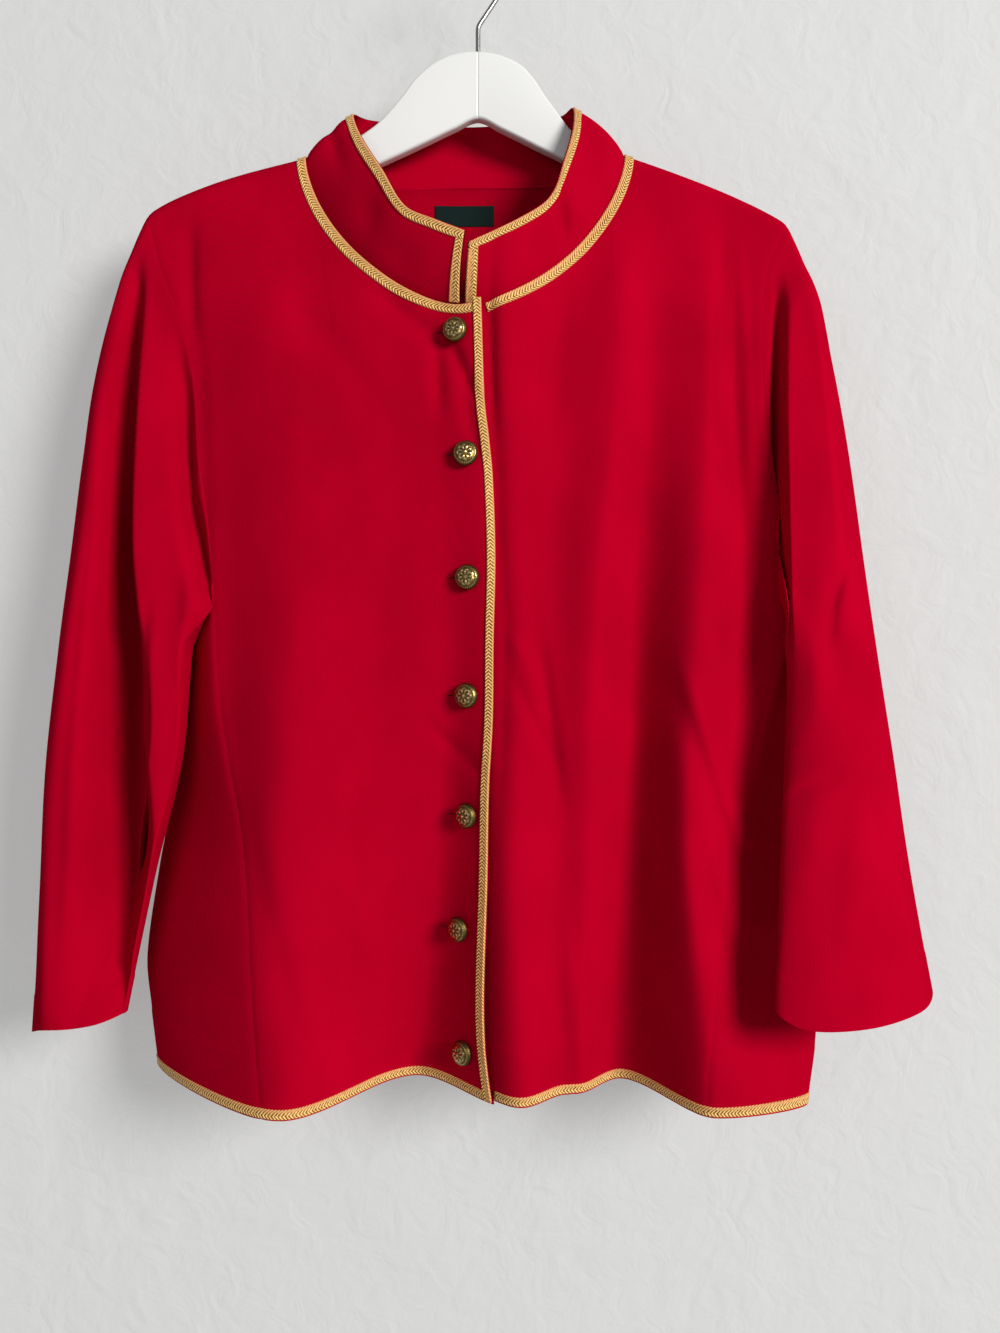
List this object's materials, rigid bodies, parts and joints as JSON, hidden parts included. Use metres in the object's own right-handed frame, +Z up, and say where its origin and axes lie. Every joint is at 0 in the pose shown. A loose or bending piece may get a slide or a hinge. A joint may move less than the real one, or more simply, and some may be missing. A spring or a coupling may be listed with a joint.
{
  "type": "military jacket on a hanger",
  "caption": "Crimson military-style jacket with a stand collar, gold braid edges and domed brass buttons, on a white wooden hanger with a wire hook.",
  "frame": {"origin": "the highest point of the inside of the hook's loop, where it rests on a rod", "axes": "+Z up, -Y out of the jacket's front, +X towards the wearer's left side"},
  "size_m": [0.625, 0.1556, 0.8177],
  "materials": {
    "cloth": "matt fine knit with a soft nap",
    "braid": "woven metallic thread",
    "brass": "antiqued, polished on the high spots",
    "label_cloth": "woven satin",
    "painted_wood": "painted white, satin",
    "steel": "bright wire"
  },
  "bodies": {
    "root": {"front_right": "cloth", "front_left": "cloth", "back": "cloth", "side_right": "cloth", "side_left": "cloth", "sleeve_right_upper": "cloth", "sleeve_right_under": "cloth", "sleeve_left_upper": "cloth", "sleeve_left_under": "cloth", "collar_stand": "cloth", "braid_neck": "braid", "braid_front": "braid", "braid_hem": "braid", "braid_collar_top": "braid", "braid_collar_right": "braid", "braid_collar_left": "braid", "button_1": "brass", "button_2": "brass", "button_3": "brass", "button_4": "brass", "button_5": "brass", "button_6": "brass", "button_7": "brass", "label": "label_cloth", "hanger": "painted_wood", "hook": "steel"}
  },
  "joints": []
}
